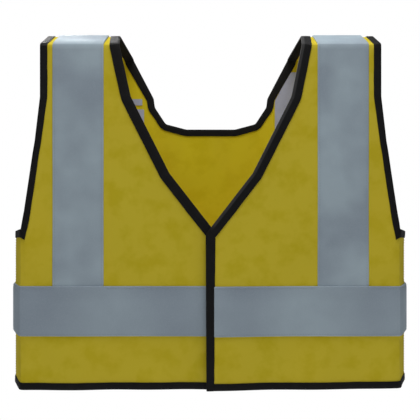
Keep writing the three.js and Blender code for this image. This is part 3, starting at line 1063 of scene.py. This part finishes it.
def stitchRow(track, inwards, lift, outside=True, trim=3 * mm):
    # a row of stitches into the cloth from a track's edge, on its outer or inner face
    track = track.spaced(stitchOf["pitch"], trim)
    inwards = inwards(*track.flat.T) if callable(inwards) else inwards
    middle = track.at(inwards, lift)
    along = directions(middle)
    up = track.at(inwards, lift + 1 * mm) - middle
    up /= np.linalg.norm(up, axis=1)[:, None] * (1 if outside else -1)
    across = np.cross(along, up)
    half, thick, sides = stitchOf["length"] / 2, stitchOf["thick"], stitchOf["sides"]
    rings = [middle - along * half - up * thick * 0.5]
    for place, bow in stitchOf["bow"]:
        for k in range(sides):
            angle = math.tau * k / sides
            rings.append(middle + along * half * place + across * thick * math.cos(angle)
                         + up * thick * (bow + math.sin(angle)) * 0.8)
    rings.append(middle + along * half - up * thick * 0.5)
    points = np.stack(rings, axis=1)
    faces, last = [], len(rings) - 1
    for k in range(sides):
        near = (k + 1) % sides
        faces += [(0, 1 + near, 1 + k), (last, last - sides + k, last - sides + near)]
        for ring in (0, 1):
            a = 1 + ring * sides
            faces.append((a + k, a + near, a + sides + near, a + sides + k))
    run = track.length()
    cloth = np.stack([np.repeat(run, last + 1), np.tile(np.arange(last + 1) * thick, len(run))], axis=1)
    return points, faces, cloth


def stitches(name, rows, look, side):
    points, faces, cloth, start = [], [], [], 0
    for rowPoints, rowFaces, rowCloth in rows:
        count, size = rowPoints.shape[:2]
        flip = signedVolume(rowPoints[0], rowFaces) < 0
        turned = [face[::-1] if flip else face for face in rowFaces]
        for first in range(start, start + count * size, size):
            faces += [tuple(first + k for k in face) for face in turned]
        points.append(rowPoints.reshape(-1, 3))
        cloth.append(rowCloth)
        start += count * size
    piece = addMesh(name, np.concatenate(points), faces, look, np.concatenate(cloth))
    return hold(piece, side)


bindingSeam = {"from": 2.0 * mm, "outer": 2.05 * mm, "inner": -1.0 * mm}
tapeSeam = {"in": 3.0 * mm, "under": 0.05 * mm}
sideSeam = {"in": 2.5 * mm, "underArmhole": 14 * mm, "aboveHem": 11 * mm}


def bothFaces(track, inwards, outer, inner, trim=3 * mm):
    return [stitchRow(track, inwards, outer, True, trim), stitchRow(track, inwards, inner, False, trim)]


def edgeRows(track, width):  # just inside the binding's sewn edge
    def inwards(s, t):
        return width(s, t) * mm - bindingSeam["from"]

    return bothFaces(track, inwards, bindingSeam["outer"], bindingSeam["inner"])


backRows = edgeRows(neckTrack, neckWidth) + edgeRows(hemTrack["back"], hemWidth)
backRows += edgeRows(armholeTrack["left"], armholeWidth) + edgeRows(armholeTrack["right"], armholeWidth)
stitches("edge_stitches", backRows, "blackThread", "root")
beltLines = [beltDrop[0] + tapeSeam["in"], beltDrop[1] - tapeSeam["in"]]
rootRows = []
for t in beltLines:
    belt = acrossTrack("back", -seamGirth, seamGirth, t)
    rootRows += bothFaces(belt, 0, tapeOf["beltOuter"], tapeSeam["under"])
for side, sign in bothSides:
    for x in (braceSpan[0] + tapeSeam["in"], braceSpan[1] - tapeSeam["in"]):
        line = straight((sign * x, 0), (sign * x, beltDrop[0]))
        brace = trackOf((side, line[::-1], 1), ("back", line, 1))
        rootRows += bothFaces(brace, 0, tapeOf["braceOuter"], tapeSeam["under"])
    edge = openEdge[side] + sign * (tapeOf["fromEdge"] + 1 * mm)
    frontRows = []
    for t in beltLines:
        belt = acrossTrack(side, *sorted([edge, sign * seamGirth]), t)
        frontRows += bothFaces(belt, 0, tapeOf["beltOuter"], tapeSeam["under"])
    stitches(side + "_belt_stitches", frontRows, "greyThread", side)
    boundRows = edgeRows(openingTrack[side], openingWidth) + edgeRows(hemTrack[side], hemWidth)
    stitches(side + "_opening_stitches", boundRows, "blackThread", side)
stitches("tape_stitches", rootRows, "greyThread", "root")
seamRows = []
seamTop, seamFoot = cornerDrop + sideSeam["underArmhole"], hemDrop - sideSeam["aboveHem"]
for side, sign in bothSides:
    for sheet in (side, "back"):
        s = sign * (seamGirth - sideSeam["in"])
        for low, high in ((seamTop, beltDrop[0]), (beltDrop[1], seamFoot)):
            seam = trackOf((sheet, straight((s, low), (s, high)), 1))
            seamRows += bothFaces(seam, 0, panelOf["outer"], panelOf["inner"], 1 * mm)
stitches("side_seam_stitches", seamRows, "yellowThread", "root")
print("stitches sewn")


# what the sheets of cloth were cut to

def cutArea(*pieces):  # of cloth laid flat, in square metres
    total = 0
    for piece in pieces:
        for face in piece.data.polygons:
            places = [piece.data.uv_layers["cloth"].data[i].uv for i in face.loop_indices]
            total += abs(sum(a.x * b.y - a.y * b.x for a, b in zip(places, places[1:] + places[:1]))) / 2
    return total / 2


def sewnOn(*names):
    return [bpy.data.objects[name] for name in names]


for side, piece, edge in (("left", leftCloth, -lapEdge), ("right", rightCloth, underEdge)):
    parts = ("_opening_binding", "_hem_binding", "_front_belt", "_belt_stitches", "_opening_stitches")
    seamGirth + edge
    sewnOn(*[side + part for part in parts])
span, drops = nodeSpan("care_label")
span[1] - span[0]
print("cut sizes:", *[round(cutArea(cloth), 4) for cloth in (backCloth, leftCloth, rightCloth)])


# floor, light and camera

scene = bpy.context.scene
scene.view_settings.view_transform = "Standard"
scene.view_settings.look = "None"

studio = {
    "floorHeight": -1.45,
    "floorRings": (0.4, 0.8, 1.3, 1.9, 2.6),
    "ambient": 0.195,
    "backdrop": 1.0,
    "lamps": {
        "top": {"watts": 21.6, "size": 0.9, "place": (0.0, -0.37, 1.38), "aim": (0, 0, -0.25)},
        "rim": {"watts": 8.5, "size": 0.4, "place": (-0.5, 1.0, 0.6), "aim": (-0.15, 0, 0)},
        "front": {"watts": 1.2, "size": 1.6, "place": (0.1, -2.4, 0.4), "aim": (0, 0, -0.25)},
    },
}


def floorDisc():
    rings, sides, height = studio["floorRings"], 64, studio["floorHeight"]
    points = [(0, 0, height)]
    for radius in rings:
        angles = [math.tau * k / sides for k in range(sides)]
        points += [(radius * math.cos(angle), radius * math.sin(angle), height) for angle in angles]
    faces = [(0, 1 + k, 1 + (k + 1) % sides) for k in range(sides)]
    for ring in range(len(rings) - 1):
        a = 1 + ring * sides
        faces += [(a + k, a + sides + k, a + sides + (k + 1) % sides, a + (k + 1) % sides)
                  for k in range(sides)]
    look = Look("studio floor", {"Roughness": 0.85, "Specular IOR Level": 0.2,
                                 "Emission Color": (1, 1, 1, 1), "Emission Strength": 0.5})
    places = look.node("ShaderNodeTexCoord", output=3)
    look.colour(look.mix(look.noise(places, 3.0), (0.86, 0.86, 0.86, 1), (0.82, 0.82, 0.825, 1)))
    mesh = bpy.data.meshes.new("studio_floor")
    mesh.from_pydata(points, [], faces)
    mesh.materials.append(look.material)
    disc = bpy.data.objects.new("studio_floor", mesh)
    bpy.context.collection.objects.link(disc)
    return disc


floorDisc()

scene.world = bpy.data.worlds.new("studio")
sky = Tree(scene.world)
lighting = sky.node("ShaderNodeBackground", {}, {0: (0.97, 0.985, 1.0, 1), 1: studio["ambient"]})
backdrop = sky.node("ShaderNodeBackground", {}, {0: (1, 1, 1, 1), 1: studio["backdrop"]})
inView = sky.node("ShaderNodeLightPath")
both = sky.node("ShaderNodeMixShader", {}, {0: inView, 1: lighting, 2: backdrop})
sky.node("ShaderNodeOutputWorld", {}, {"Surface": both})


def aim(thing, target):
    thing.rotation_euler = (Vector(target) - thing.location).to_track_quat("-Z", "Y").to_euler()


for name, settings in studio["lamps"].items():
    lamp = bpy.data.lights.new(name + " light", "AREA")
    lamp.energy, lamp.size = settings["watts"], settings["size"]
    holder = bpy.data.objects.new(name + " light", lamp)
    holder.location = settings["place"]
    aim(holder, settings["aim"])
    bpy.context.collection.objects.link(holder)

# away is from the vest's front, and halfWidth is half of what shows at 1 m
view = {"height": -0.2675, "across": -0.0009, "away": 1.0, "halfWidth": 0.3088, "sensor": 36}
lens = bpy.data.cameras.new("camera")
lens.sensor_width = view["sensor"]
lens.lens = view["sensor"] / 2 / view["halfWidth"]
lens.clip_start = 0.02
camera = bpy.data.objects.new("camera", lens)
camera.location = (view["across"], -form["halfDepth"] - fabricSheet - view["away"], view["height"])
camera.rotation_euler = (math.radians(90), 0, 0)
bpy.context.collection.objects.link(camera)
scene.camera = camera
print("studio set")
